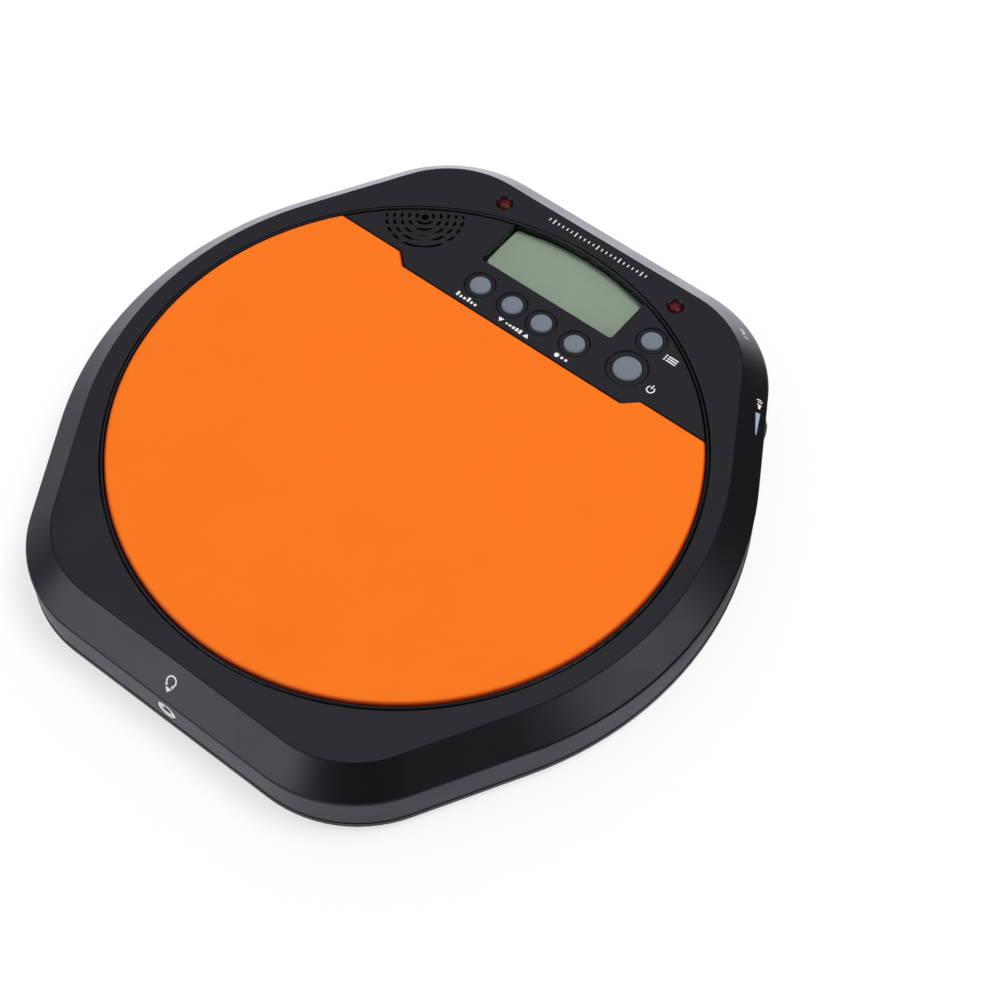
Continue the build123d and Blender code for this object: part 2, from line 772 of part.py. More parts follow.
# ------------------------------------------------------------------ sockets
def make_headphone_socket():
    with BuildPart() as jack:
        with BuildSketch(front_plane(socket_face + socket_depth, socket_z)):
            Rectangle(socket_width, socket_height)
        extrude(amount=socket_depth)
        with BuildSketch(front_plane(socket_face, socket_z)):
            Circle(socket_barrel_r)
        extrude(amount=socket_face - ring_face - ring_face_t - ring_clearance)
        with BuildSketch(front_plane(0, socket_z)):
            Circle(plug_r)
        extrude(amount=-(socket_face + socket_depth), mode=Mode.SUBTRACT)
    finish(jack, "headphone_jack")

    # the ring: a sleeve round the socket's barrel with a face that covers the barrel's end
    with BuildPart() as ring:
        with BuildSketch(front_plane(socket_face, socket_z)):
            Circle(socket_ring_r)
            Circle(socket_barrel_r, mode=Mode.SUBTRACT)
        extrude(amount=socket_face - ring_face)
        with BuildSketch(front_plane(ring_face + ring_face_t, socket_z)):
            Circle(socket_ring_r - 0.5)
            Circle(plug_r + 0.05, mode=Mode.SUBTRACT)
        extrude(amount=ring_face_t)
        rims = ring.edges().filter_by(GeomType.CIRCLE).group_by(Axis.Y)[0].sort_by(SortBy.RADIUS)
        fillet(rims[-1], 0.4)
        chamfer(rims[0], 0.25)
    finish(ring, "headphone_ring")
    small_board("headphone_board", front_floor, small_boards[2], headphone_board_width, -18.0, -4.6)


def make_power_socket():
    with BuildPart() as jack:
        with BuildSketch(power_plane(power_back, socket_z)):
            Rectangle(power_width, 2 * power_half_height)
        extrude(amount=power_back - power_face)
        with BuildSketch(power_plane(power_face, socket_z)):
            Circle(power_barrel_r)
        extrude(amount=power_face - power_mouth)
        with BuildSketch(power_plane(power_bore_end, socket_z)):
            Circle(power_bore_r)
        extrude(amount=power_bore_end, mode=Mode.SUBTRACT)
    finish(jack, "dc_jack")

    with BuildPart() as pin:
        with BuildSketch(power_plane(power_bore_end, socket_z)):
            Circle(power_pin_r)
        extrude(amount=power_pin_length)
        fillet(pin.edges().filter_by(GeomType.CIRCLE).sort_by(power_line())[-1], 0.4)
    finish(pin, "dc_pin")
    small_board("dc_board", power_floor, small_boards[1], power_board_width, -17.8, -5.6)


def power_line():
    """The power socket's axis, pointing out of the case."""
    plane = power_plane(0, socket_z)
    return Axis(plane.origin, plane.z_dir)


# ------------------------------------------------------------------ battery compartment
def make_battery_door():
    tab_z = inside_z + 0.3
    front_y = battery_y - door_half_depth
    with BuildPart() as door:
        with BuildSketch(Plane.XY.offset(base_z)):
            with Locations((0, battery_y)):
                Rectangle(2 * door_half_length, 2 * door_half_depth)
        extrude(amount=door_t)
        fillet(door.edges().filter_by(Axis.Z), 0.8)
        for x in (-door_tab_x, door_tab_x):
            with Locations((x, front_y + 1.3, base_z + door_t)):
                Box(door_tab_width, 2.0, tab_z + door_tab_t - base_z - door_t, align=back_up)
            with Locations((x, front_y - 4.0, tab_z)):
                Box(door_tab_width, 5.5, door_tab_t, align=back_up)
        for x in (-latch_x, latch_x):
            with Locations((x, battery_y + bay_half_depth - 0.8, base_z + door_t)):
                Box(7, 1.4, 2.2, align=(Align.CENTER, Align.MAX, Align.MIN))
        # grip lines across the latch end
        with Locations((0, battery_y + bay_half_depth - 6, base_z)):
            with GridLocations(0, grip_pitch, 1, 4):
                Box(grip_width, 0.8, 0.5, align=bottom_up, mode=Mode.SUBTRACT)
    finish(door, "battery_door")


def battery_rows():
    """Each cell's place: the wall it starts from, the way it points and the row it lies in."""
    for row in (-1, 0, 1):
        for side in (-1, 1):
            outward = side if row else -side
            nub_x = side * bay_half_length if outward == side else side * 1.0
            yield nub_x, outward, battery_y + row * cell_pitch


def make_batteries():
    with BuildPart() as plates:
        for nub_x, outward, y in battery_rows():
            with Locations((nub_x - outward * plate_thickness / 2, y, cell_z)):
                Box(plate_thickness, 11, 11)
    finish(plates, "battery_plates")

    with BuildPart() as cells:
        for nub_x, outward, y in battery_rows():
            start = nub_x - outward * (plate_thickness + cell_nub + cell_length)
            profile = Plane(origin=(start, y, cell_z), x_dir=(outward, 0, 0), z_dir=(0, -outward, 0))
            with BuildSketch(profile):
                with BuildLine():
                    Polyline(
                        (0, 0), (0, cell_r - 0.4), (0.4, cell_r), (cell_length - 0.4, cell_r),
                        (cell_length, cell_r - 0.4), (cell_length, cell_nub_r),
                        (cell_length + cell_nub, cell_nub_r), (cell_length + cell_nub, 0), close=True,
                    )
                make_face()
            revolve(axis=Axis((start, y, cell_z), (1, 0, 0)))
    finish(cells, "battery_cells")

    # leaf springs: an upright plate on the wall and a bent leaf that presses on the cell
    with BuildPart() as springs:
        for nub_x, outward, y in battery_rows():
            wall_x = nub_x - outward * (bay_half_length - 1)
            start = (wall_x, y + outward * leaf_width / 2, cell_z)
            with BuildSketch(Plane(origin=start, x_dir=(outward, 0, 0), z_dir=(0, -outward, 0))):
                with BuildLine() as leaf:
                    Polyline((0.25, -5.5), (0.25, 5.5), (4.9, 0), (1.6, -4.0))
                trace(leaf.line, leaf_t)
            extrude(amount=leaf_width)
    finish(springs, "battery_springs")


# ------------------------------------------------------------------ feet and screws
def make_feet():
    with BuildPart() as feet:
        with Locations(*[(x, y, 0) for x, y in foot_places]):
            Cylinder(foot_r, base_z + foot_recess, align=bottom_up)
        fillet(edges_at(feet, 0), 0.8)
    finish(feet, "rubber_feet")


def screw_set(name, places, head_z, head_r, head_t, shank_r, shank_length):
    """A set of upright pan-head screws with their heads below and a cross recess in each."""
    with BuildPart() as screws:
        with Locations(*[(x, y, head_z) for x, y in places]):
            Cylinder(head_r, head_t, align=bottom_up)
        fillet(edges_at(screws, head_z), head_t * 0.35)
        with Locations(*[(x, y, head_z) for x, y in places]):
            Box(head_r * 1.1, head_r * 0.28, head_t * 0.5, align=bottom_up, mode=Mode.SUBTRACT)
            Box(head_r * 0.28, head_r * 1.1, head_t * 0.5, align=bottom_up, mode=Mode.SUBTRACT)
        with Locations(*[(x, y, head_z + head_t) for x, y in places]):
            Cylinder(shank_r, shank_length, align=bottom_up)
    finish(screws, name)


def make_small_board_screws():
    """Screws into the posts of the small boards, heads up."""
    with BuildPart() as screws:
        for floor, places, low_z in small_boards:
            with BuildSketch(floor.offset(low_z + small_board_t - inside_z)):
                with Locations(*places):
                    Circle(1.7)
            extrude(amount=1.2)
            with BuildSketch(floor.offset(0.4)):
                with Locations(*places):
                    Circle(0.75)
            extrude(amount=low_z + small_board_t - inside_z)
    finish(screws, "small_board_screws")


# ------------------------------------------------------------------ build everything
os.makedirs("parts", exist_ok=True)
make_top_shell()
make_trim_ring()
make_bottom_shell()
make_control_panel()
for key in keys:
    make_key(*key)
make_key_mat()
round_piece("drum_pad", pad_top_z - pad_t, pad_t, 0.0, edge_fillet=pad_edge_fillet)
round_piece("strike_plate", pad_top_z - pad_t - plate_t, plate_t, 1.5)
round_piece("pad_foam", pocket_z, pad_top_z - pad_t - plate_t - pocket_z, 3.0, window=True)
make_pickup()
make_display()
make_main_board()
make_lamps()
make_speaker()
make_volume_control()
make_headphone_socket()
make_power_socket()
make_battery_door()
make_batteries()
make_feet()
case_head_z = base_z + counterbore_depth - screw_head_t
screw_set("case_screws", case_screw_places, case_head_z, screw_head_r, screw_head_t, screw_r, 10.5)
screw_set("board_screws", panel_post_places, board_z - 1.4, 2.0, 1.4, 0.85, 5.0)
make_small_board_screws()
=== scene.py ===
from math import atan2, cos, pi, radians, sin, sqrt

import bmesh
import bpy
from mathutils import Matrix, Vector
from mathutils.bvhtree import BVHTree


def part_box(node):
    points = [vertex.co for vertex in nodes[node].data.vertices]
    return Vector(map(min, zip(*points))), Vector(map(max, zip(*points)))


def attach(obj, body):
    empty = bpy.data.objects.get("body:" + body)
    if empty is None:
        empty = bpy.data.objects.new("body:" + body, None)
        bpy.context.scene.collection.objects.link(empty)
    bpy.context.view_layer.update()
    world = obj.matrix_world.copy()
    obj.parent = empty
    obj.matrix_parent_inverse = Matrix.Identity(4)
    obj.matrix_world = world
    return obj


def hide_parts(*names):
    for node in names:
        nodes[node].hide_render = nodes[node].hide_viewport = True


# An electronic practice pad in a white studio, seen by the photograph's camera. Lengths are in metres
# except where a comment says millimetres.
MM = 0.001

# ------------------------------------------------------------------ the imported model
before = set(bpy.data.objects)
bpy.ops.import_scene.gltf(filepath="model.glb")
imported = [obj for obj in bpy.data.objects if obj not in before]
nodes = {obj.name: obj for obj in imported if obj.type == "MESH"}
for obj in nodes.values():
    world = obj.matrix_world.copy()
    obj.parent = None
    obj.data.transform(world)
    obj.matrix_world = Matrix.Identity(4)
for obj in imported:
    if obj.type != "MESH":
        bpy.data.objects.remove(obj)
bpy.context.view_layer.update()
scene = bpy.context.scene

pad_low, pad_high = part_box("drum_pad")
foam_low, foam_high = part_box("pad_foam")
glass_low, glass_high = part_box("lcd_glass")
panel_front_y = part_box("control_panel")[0].y

# ------------------------------------------------------------------ camera
CAMERA_TARGET = Vector((0.0408, 0.0005, 0.0287))
CAMERA_AZIMUTH = radians(38.37)
CAMERA_ELEVATION = radians(56.93)
CAMERA_DISTANCE = 0.723
CAMERA_LENS = 78.2                         # millimetres, for the sensor's width
SENSOR_WIDTH = 36.0


def make_camera():
    data = bpy.data.cameras.new("camera")
    data.lens = CAMERA_LENS
    data.sensor_width = SENSOR_WIDTH
    data.clip_start = 0.05
    data.clip_end = 100.0
    camera = bpy.data.objects.new("camera", data)
    back = Vector((sin(CAMERA_AZIMUTH) * cos(CAMERA_ELEVATION),
                   -cos(CAMERA_AZIMUTH) * cos(CAMERA_ELEVATION),
                   sin(CAMERA_ELEVATION)))
    camera.location = CAMERA_TARGET + CAMERA_DISTANCE * back
    camera.rotation_euler = (-back).to_track_quat("-Z", "Y").to_euler()
    scene.collection.objects.link(camera)
    scene.camera = camera


# ------------------------------------------------------------------ floor and light
FLOOR_HALF = 20.0
PAPER = (0.93, 0.93, 0.93, 1.0)
SHADOW_RELIEF = 0.7                        # how much of the paper glows by itself, to soften shadows
WORLD_SEEN = 1.0
WORLD_FILL = 0.36
WORLD_REFLECTED = 0.05
REFLECTED_TINT = (1.0, 0.99, 1.06, 1.0)
# direction, from, to, gain at from, gain at to: metres from the middle of the playing surface
REFLECTED_FLOOR = [
    ((1.0, 0.3, 0.0), 0.115, 0.145, 1.0, 0.03),
    ((-0.4, 0.9, 0.0), 0.04, 0.11, 0.66, 2.0),
    ((-1.0, 0.3, 0.0), 0.14, 0.18, 1.0, 0.75),
]
SUN_DIRECTION = (0.30, 0.25, 0.92)
SUN_SPREAD = radians(30)
SUN_IRRADIANCE = 2.12
# name, direction, distance, size, radiance, whether it lights matt surfaces too
SOFT_BOXES = [
    ("top_box", (-0.30, 0.40, 0.86), 1.7, (2.2, 2.2), 0.46, True),
    ("zenith_box", (-0.24, 0.22, 0.95), 1.2, (0.7, 0.7), 0.42, False),
    ("front_box", (-0.38, -0.82, 0.37), 1.7, (1.5, 0.9), 2.85, False),
    ("side_box", (0.90, 0.22, 0.36), 1.7, (1.2, 0.8), 2.2, False),
]
MAP_RANGE = ("From Min", "From Max", "To Min", "To Max")


def make_floor():
    mesh = bpy.data.meshes.new("floor")
    half = FLOOR_HALF
    mesh.from_pydata([(-half, -half, 0), (half, -half, 0), (half, half, 0), (-half, half, 0)],
                     [], [(0, 1, 2, 3)])
    floor = bpy.data.objects.new("floor", mesh)
    scene.collection.objects.link(floor)
    mat = bpy.data.materials.new("floor_paper")
    mat.use_nodes = True
    shader = mat.node_tree.nodes["Principled BSDF"]
    shader.inputs["Base Color"].default_value = PAPER
    shader.inputs["Roughness"].default_value = 0.9
    shader.inputs["Specular IOR Level"].default_value = 0.0
    light_paper(mat, shader)
    mesh.materials.append(mat)


def reflected_gain(tree):
    """How bright the paper is in reflections: most behind the object, less in front and at the sides."""
    place = tree.nodes.new("ShaderNodeTexCoord")
    gain = None
    for direction, start, end, low, high in REFLECTED_FLOOR:
        along = tree.nodes.new("ShaderNodeVectorMath")
        along.operation = "DOT_PRODUCT"
        along.inputs[1].default_value = direction
        tree.links.new(place.outputs["Object"], along.inputs[0])
        ramp = tree.nodes.new("ShaderNodeMapRange")
        ramp.interpolation_type = "SMOOTHSTEP"
        for socket, value in zip(MAP_RANGE, (start, end, low, high)):
            ramp.inputs[socket].default_value = value
        tree.links.new(along.outputs["Value"], ramp.inputs["Value"])
        if gain:
            product = tree.nodes.new("ShaderNodeMath")
            product.operation = "MULTIPLY"
            tree.links.new(gain, product.inputs[0])
            tree.links.new(ramp.outputs["Result"], product.inputs[1])
            gain = product.outputs[0]
        else:
            gain = ramp.outputs["Result"]
    return gain


def light_paper(mat, shader):
    """Part of the paper glows by itself, and reflections see a brightness that varies with the place."""
    tree = mat.node_tree
    glow = tree.nodes.new("ShaderNodeEmission")
    glow.inputs["Color"].default_value = REFLECTED_TINT
    tree.links.new(reflected_gain(tree), glow.inputs["Strength"])
    path = tree.nodes.new("ShaderNodeLightPath")
    paper = tree.nodes.new("ShaderNodeMixShader")
    paper.inputs["Fac"].default_value = SHADOW_RELIEF
    lit = tree.nodes.new("ShaderNodeEmission")
    tree.links.new(shader.outputs[0], paper.inputs[1])
    tree.links.new(lit.outputs[0], paper.inputs[2])
    mix = tree.nodes.new("ShaderNodeMixShader")
    tree.links.new(path.outputs["Is Glossy Ray"], mix.inputs["Fac"])
    tree.links.new(paper.outputs[0], mix.inputs[1])
    tree.links.new(glow.outputs[0], mix.inputs[2])
    tree.links.new(mix.outputs[0], tree.nodes["Material Output"].inputs["Surface"])
    mat.cycles.emission_sampling = "NONE"


def soft_box(name, direction, distance, size, radiance, on_matt):
    """A rectangular area light that faces the middle of the object from a direction."""
    data = bpy.data.lights.new(name, "AREA")
    data.shape = "RECTANGLE"
    data.size, data.size_y = size
    data.energy = radiance * pi * size[0] * size[1]
    lamp = bpy.data.objects.new(name, data)
    away = Vector(direction).normalized()
    lamp.location = away * distance
    lamp.rotation_euler = away.to_track_quat("Z", "Y").to_euler()
    lamp.visible_diffuse = on_matt
    scene.collection.objects.link(lamp)


def make_sun():
    """The main light on matt surfaces, which shiny ones don't reflect."""
    data = bpy.data.lights.new("key_light", "SUN")
    data.angle = SUN_SPREAD
    data.energy = SUN_IRRADIANCE
    lamp = bpy.data.objects.new("key_light", data)
    lamp.rotation_euler = Vector(SUN_DIRECTION).normalized().to_track_quat("Z", "Y").to_euler()
    lamp.visible_glossy = False
    scene.collection.objects.link(lamp)


def make_world():
    """Pale behind the object, an even fill on matt surfaces, and dim where shiny surfaces reflect it."""
    world = bpy.data.worlds.new("studio")
    scene.world = world
    world.use_nodes = True
    world.cycles.sampling_method = "NONE"
    tree = world.node_tree
    tree.nodes.clear()
    path = tree.nodes.new("ShaderNodeLightPath")

    def background(level):
        node = tree.nodes.new("ShaderNodeBackground")
        node.inputs["Color"].default_value = (level, level, level, 1)
        return node.outputs[0]

    def choose(ray, usual, seen):
        node = tree.nodes.new("ShaderNodeMixShader")
        tree.links.new(path.outputs[ray], node.inputs["Fac"])
        tree.links.new(usual, node.inputs[1])
        tree.links.new(seen, node.inputs[2])
        return node.outputs[0]

    matt_or_shiny = choose("Is Glossy Ray", background(WORLD_FILL), background(WORLD_REFLECTED))
    output = tree.nodes.new("ShaderNodeOutputWorld")
    tree.links.new(choose("Is Camera Ray", matt_or_shiny, background(WORLD_SEEN)), output.inputs["Surface"])


def make_stage():
    make_floor()
    make_world()
    make_sun()
    for box in SOFT_BOXES:
        soft_box(*box)
    scene.view_settings.view_transform = "Standard"


# ------------------------------------------------------------------ materials
class Finish:
    """A principled material whose detail comes from noise in the object's own coordinates."""

    def __init__(self, name, colour, roughness, **sockets):
        self.mat = bpy.data.materials.new(name)
        self.mat.use_nodes = True
        self.tree = self.mat.node_tree
        self.shader = self.tree.nodes["Principled BSDF"]
        self.colour = colour
        self.shader.inputs["Base Color"].default_value = (*colour, 1)
        self.shader.inputs["Roughness"].default_value = roughness
        for socket, value in sockets.items():
            self.shader.inputs[socket.replace("_", " ")].default_value = value
        self.place = self.tree.nodes.new("ShaderNodeTexCoord").outputs["Object"]
        self.normal = None
        self.varied = None

    def noise(self, size, detail=2.0, stretch=None):
        """Noise whose cells are about size metres across; stretch scales its axes."""
        place = self.place
        if stretch:
            mapping = self.tree.nodes.new("ShaderNodeMapping")
            mapping.inputs["Scale"].default_value = stretch
            self.tree.links.new(place, mapping.inputs["Vector"])
            place = mapping.outputs["Vector"]
        node = self.tree.nodes.new("ShaderNodeTexNoise")
        node.inputs["Scale"].default_value = 1.0 / size
        node.inputs["Detail"].default_value = detail
        self.tree.links.new(place, node.inputs["Vector"])
        return node.outputs["Fac"]

    def spread(self, source, low, high, start=0.3, end=0.7):
        """source, from start to end, mapped onto low to high."""
        node = self.tree.nodes.new("ShaderNodeMapRange")
        for socket, value in zip(MAP_RANGE, (start, end, low, high)):
            node.inputs[socket].default_value = value
        self.tree.links.new(source, node.inputs["Value"])
        return node.outputs["Result"]

    def vary_roughness(self, size, low, high, stretch=None):
        self.tree.links.new(self.spread(self.noise(size, 3.0, stretch), low, high),
                            self.shader.inputs["Roughness"])
        return self

    def vary_colour(self, source, other, start=0.3, end=0.7):
        """Blends the base colour towards another one where source is high."""
        ramp = self.tree.nodes.new("ShaderNodeValToRGB")
        ramp.color_ramp.elements[0].position = start
        ramp.color_ramp.elements[0].color = (*self.colour, 1)
        ramp.color_ramp.elements[1].position = end
        ramp.color_ramp.elements[1].color = (*other, 1)
        self.tree.links.new(source, ramp.inputs["Fac"])
        self.varied = ramp.outputs["Color"]
        self.tree.links.new(self.varied, self.shader.inputs["Base Color"])
        return self

    def paint_shade_below(self, height, blend, other):
        """Paints shade: turns the varied colour into another one below a height, over a short blend."""
        split = self.tree.nodes.new("ShaderNodeSeparateXYZ")
        self.tree.links.new(self.place, split.inputs[0])
        mix = self.tree.nodes.new("ShaderNodeMixRGB")
        share = self.spread(split.outputs["Z"], 0, 1, height - blend, height)
        self.tree.links.new(share, mix.inputs["Fac"])
        mix.inputs["Color1"].default_value = (*other, 1)
        self.tree.links.new(self.varied, mix.inputs["Color2"])
        self.tree.links.new(mix.outputs["Color"], self.shader.inputs["Base Color"])
        return self

    def bump(self, source, height):
        """Adds relief of that height, in metres, over what is there already."""
        node = self.tree.nodes.new("ShaderNodeBump")
        node.inputs["Strength"].default_value = 1.0
        node.inputs["Distance"].default_value = height
        self.tree.links.new(source, node.inputs["Height"])
        if self.normal:
            self.tree.links.new(self.normal, node.inputs["Normal"])
        self.normal = node.outputs["Normal"]
        self.tree.links.new(self.normal, self.shader.inputs["Normal"])
        return self


BLACK_SHEEN = (1.0, 0.97, 1.17, 1.0)       # the faint violet cast of the black plastic's sheen
BLACK_ROUGHNESS = 0.36
MOULD_GRAIN = 0.4 * MM
MOULD_RELIEF = 0.006 * MM
PAD_PAINTED_SHADE = (0.42, 0.035, 0.001)           # painted shade: a deeper orange on the rubber's rounded side, where less light falls
PAD_PAINTED_SHADE_DEPTH = 0.1 * MM
PAD_PAINTED_SHADE_BLEND = 0.7 * MM
FOAM_CELLS = 1500                          # cells per metre
BOARD_TRACKS = 160                         # tracks per metre


def black_plastic(name, colour, least_roughness, most_roughness):
    """Black ABS with the fine even texture of an eroded mould."""
    finish = Finish(name, colour, BLACK_ROUGHNESS, Specular_IOR_Level=0.40, Specular_Tint=BLACK_SHEEN)
    finish.vary_roughness(20 * MM, least_roughness, most_roughness)
    return finish.bump(finish.noise(MOULD_GRAIN), MOULD_RELIEF)


def pad_rubber():
    """Orange rubber: matt, with a fine pebble, the faintest mottling, and painted shade on its rounded
    side.
    """
    finish = Finish("pad_rubber", (0.88, 0.170, 0.0062), 0.62, Specular_IOR_Level=0.2)
    finish.vary_roughness(12 * MM, 0.58, 0.68)
    finish.vary_colour(finish.noise(30 * MM, 4.0), (0.86, 0.163, 0.0056))
    # painted shade: the colour turns deeper orange below the pad's top, on its rounded side
    finish.paint_shade_below(pad_high.z - PAD_PAINTED_SHADE_DEPTH, PAD_PAINTED_SHADE_BLEND, PAD_PAINTED_SHADE)
    return finish.bump(finish.noise(0.7 * MM, 3.0), 0.02 * MM)


def metal(name, colour, roughness, grain=0.6 * MM, stretch=None, metallic=1.0):
    """Metal with a fine grain; stretch draws the grain out along an axis."""
    finish = Finish(name, colour, roughness, Metallic=metallic)
    finish.vary_roughness(grain, 0.8 * roughness, 1.25 * roughness, stretch)
    return finish.bump(finish.noise(grain, 2.0, stretch), 0.004 * MM)


def plastic(name, colour, roughness, grain=MOULD_GRAIN, relief=MOULD_RELIEF):
    finish = Finish(name, colour, roughness)
    finish.vary_roughness(4 * MM, 0.85 * roughness, 1.15 * roughness)
    return finish.bump(finish.noise(grain), relief)


def soft_foam():
    """Closed-cell foam: dull black with small cells."""
    finish = Finish("foam", (0.022, 0.022, 0.024), 0.95)
    cells = finish.tree.nodes.new("ShaderNodeTexVoronoi")
    cells.inputs["Scale"].default_value = FOAM_CELLS
    finish.tree.links.new(finish.place, cells.inputs["Vector"])
    finish.vary_colour(cells.outputs["Distance"], (0.05, 0.05, 0.053))
    return finish.bump(cells.outputs["Distance"], 0.2 * MM)


def clear_plastic():
    finish = Finish("clear_plastic", (0.97, 0.98, 0.97), 0.04, Transmission_Weight=1.0, IOR=1.3)
    return finish.bump(finish.noise(4 * MM), 0.002 * MM)


def display():
    """The grey-green reflector of a liquid crystal display that is switched off."""
    finish = Finish("display", (0.308, 0.398, 0.298), 0.30)
    finish.vary_roughness(6 * MM, 0.28, 0.34)
    finish.vary_colour(finish.noise(0.6 * MM, 4.0), (0.320, 0.413, 0.310))
    return finish.bump(finish.noise(0.5 * MM), 0.003 * MM)


def board():
    """Green solder mask over copper, a little lighter where the tracks run."""
    finish = Finish("board", (0.010, 0.085, 0.022), 0.30)
    tracks = finish.tree.nodes.new("ShaderNodeTexBrick")
    tracks.inputs["Scale"].default_value = BOARD_TRACKS
    tracks.inputs["Color1"].default_value = (1, 1, 1, 1)
    tracks.inputs["Color2"].default_value = (1, 1, 1, 1)
    tracks.inputs["Mortar"].default_value = (0, 0, 0, 1)
    finish.tree.links.new(finish.place, tracks.inputs["Vector"])
    finish.vary_colour(tracks.outputs["Fac"], (0.022, 0.15, 0.045))
    return finish.bump(tracks.outputs["Fac"], 0.03 * MM)


def lamp():
    """The tinted epoxy of a red lamp."""
    finish = Finish("lamp", (0.115, 0.003, 0.006), 0.12, Specular_IOR_Level=0.25, Transmission_Weight=0.35)
    finish.vary_colour(finish.noise(1.5 * MM), (0.055, 0.002, 0.003), 0.4, 0.6)
    return finish.bump(finish.noise(1 * MM), 0.01 * MM)


def make_finishes():
    """The record's material slots, each with its finish."""
    made = {
        "case_plastic": black_plastic("case_plastic", (0.0050, 0.0050, 0.0062), 0.33, 0.39),
        "panel_plastic": black_plastic("panel_plastic", (0.0048, 0.0048, 0.0058), 0.34, 0.40),
        "pad_rubber": pad_rubber(),
        "steel": metal("steel", (0.56, 0.56, 0.57), 0.38, stretch=(1, 12, 1)),
        "foam": soft_foam(),
        "brass": metal("brass", (0.75, 0.52, 0.22), 0.30),
        "ceramic": plastic("ceramic", (0.78, 0.78, 0.73), 0.45),
        "clear_plastic": clear_plastic(),
        "display": display(),
        "black_part": plastic("black_part", (0.012, 0.012, 0.013), 0.42),
        "black_rubber": plastic("black_rubber", (0.014, 0.014, 0.015), 0.75, 0.6 * MM, 0.02 * MM),
        "board": board(),
        "capacitor": plastic("capacitor", (0.018, 0.025, 0.07), 0.32),
        "nickel": metal("nickel", (0.66, 0.63, 0.56), 0.25),
        "key": plastic("key", (0.150, 0.179, 0.218), 0.55, 0.5 * MM, 0.01 * MM),
        "silicone": plastic("silicone", (0.25, 0.25, 0.26), 0.60),
        "lamp": lamp(),
        "paper": plastic("paper", (0.02, 0.02, 0.021), 0.85, 0.8 * MM, 0.05 * MM),
        "ferrite": plastic("ferrite", (0.03, 0.03, 0.032), 0.65, 1 * MM, 0.04 * MM),
        "bright_ring": metal("bright_ring", (0.93, 0.93, 0.93), 0.50, metallic=0.4),
        "cell": plastic("cell", (0.03, 0.03, 0.034), 0.35),
        "screw": metal("screw", (0.42, 0.42, 0.43), 0.32),
        "white_ink": plastic("white_ink", (0.80, 0.80, 0.80), 0.55, 0.2 * MM, 0.004 * MM),
        "blue_ink": plastic("blue_ink", (0.30, 0.39, 0.53), 0.50, 0.2 * MM, 0.004 * MM),
    }
    return {name: finish.mat for name, finish in made.items()}


def dress_nodes(finishes):
    """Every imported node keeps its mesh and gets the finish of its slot."""
    for node in nodes.values():
        for held in node.material_slots:
            held.material = finishes[held.material.name.split(".")[0]]


# ------------------------------------------------------------------ playing surface and foam
PAD_ROUNDING = 1.7 * MM
FOAM_ROUNDING = 0.3 * MM
STEP_OUTER_X = 53.4 * MM
STEP_INNER_X = 48.4 * MM
STEP_FILLET = 1.8 * MM
TIP_FILLET = 1.8 * MM
STEP_GAP = 0.5 * MM
PICKUP_PLACE = (0, 10 * MM)
PICKUP_WINDOW_R = 16 * MM
ROUND_POINTS = 160
WINDOW_POINTS = 48
TIP_POINTS = 8
CORNER_POINTS = 6
ROUNDING_STEPS = 8
SMOOTH_BELOW = radians(30)


def arc(centre, radius, start, end, count):
    """Points along an arc in count steps, with both ends; a whole turn repeats its first point."""
    turns = [start + (end - start) * step / count for step in range(count + 1)]
    return [(centre[0] + radius * cos(turn), centre[1] + radius * sin(turn)) for turn in turns]


def turned_corner(corner, first, second, radius, inset):
    """Points round a corner between two edges whose outward directions are given as angles."""
    outward = [Vector((cos(angle), sin(angle))) for angle in (first, second)]
    reach = (outward[0] + outward[1]) * (radius / (1 + outward[0].dot(outward[1])))
    if second > first:
        return arc(Vector(corner) - reach, radius - inset, first, second, CORNER_POINTS)
    return arc(Vector(corner) + reach, radius + inset, first + pi, second + pi, CORNER_POINTS)


def stepped_disc(radius, side_y, middle_y):
    """A disc whose back is cut off along the stepped line, as a function of how far it is inset."""
    slant = atan2(side_y - middle_y, STEP_OUTER_X - STEP_INNER_X)
    tip = Vector((sqrt((radius - TIP_FILLET) ** 2 - (side_y - TIP_FILLET) ** 2), side_y - TIP_FILLET))
    tip_angle = atan2(tip.y, tip.x)
    back = pi / 2

    def outline(inset):
        left_tip = arc((-tip.x, tip.y), TIP_FILLET - inset, back, pi - tip_angle, TIP_POINTS)
        right_tip = arc(tip, TIP_FILLET - inset, tip_angle, back, TIP_POINTS)
        front = arc((0, 0), radius - inset, pi - tip_angle, 2 * pi + tip_angle, ROUND_POINTS)
        return [
            *right_tip,
            *turned_corner((STEP_OUTER_X, side_y), back, back + slant, STEP_FILLET, inset),
            *turned_corner((STEP_INNER_X, middle_y), back + slant, back, STEP_FILLET, inset),
            *turned_corner((-STEP_INNER_X, middle_y), back, back - slant, STEP_FILLET, inset),
            *turned_corner((-STEP_OUTER_X, side_y), back - slant, back, STEP_FILLET, inset),
            *left_tip,
            *front[1:-1],
        ]
    return outline


def add_piece(name, mesh, finish, body="case"):
    """Turns a bmesh into a piece that rides on a body."""
    bmesh.ops.recalc_face_normals(mesh, faces=mesh.faces)
    data = bpy.data.meshes.new(name)
    for edge in mesh.edges:
        edge.smooth = len(edge.link_faces) == 2 and edge.calc_face_angle(0) < SMOOTH_BELOW
    for face in mesh.faces:
        face.smooth = True
    mesh.to_mesh(data)
    mesh.free()
    data.materials.append(finishes[finish])
    piece = bpy.data.objects.new(name, data)
    scene.collection.objects.link(piece)
    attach(piece, body)
    return piece


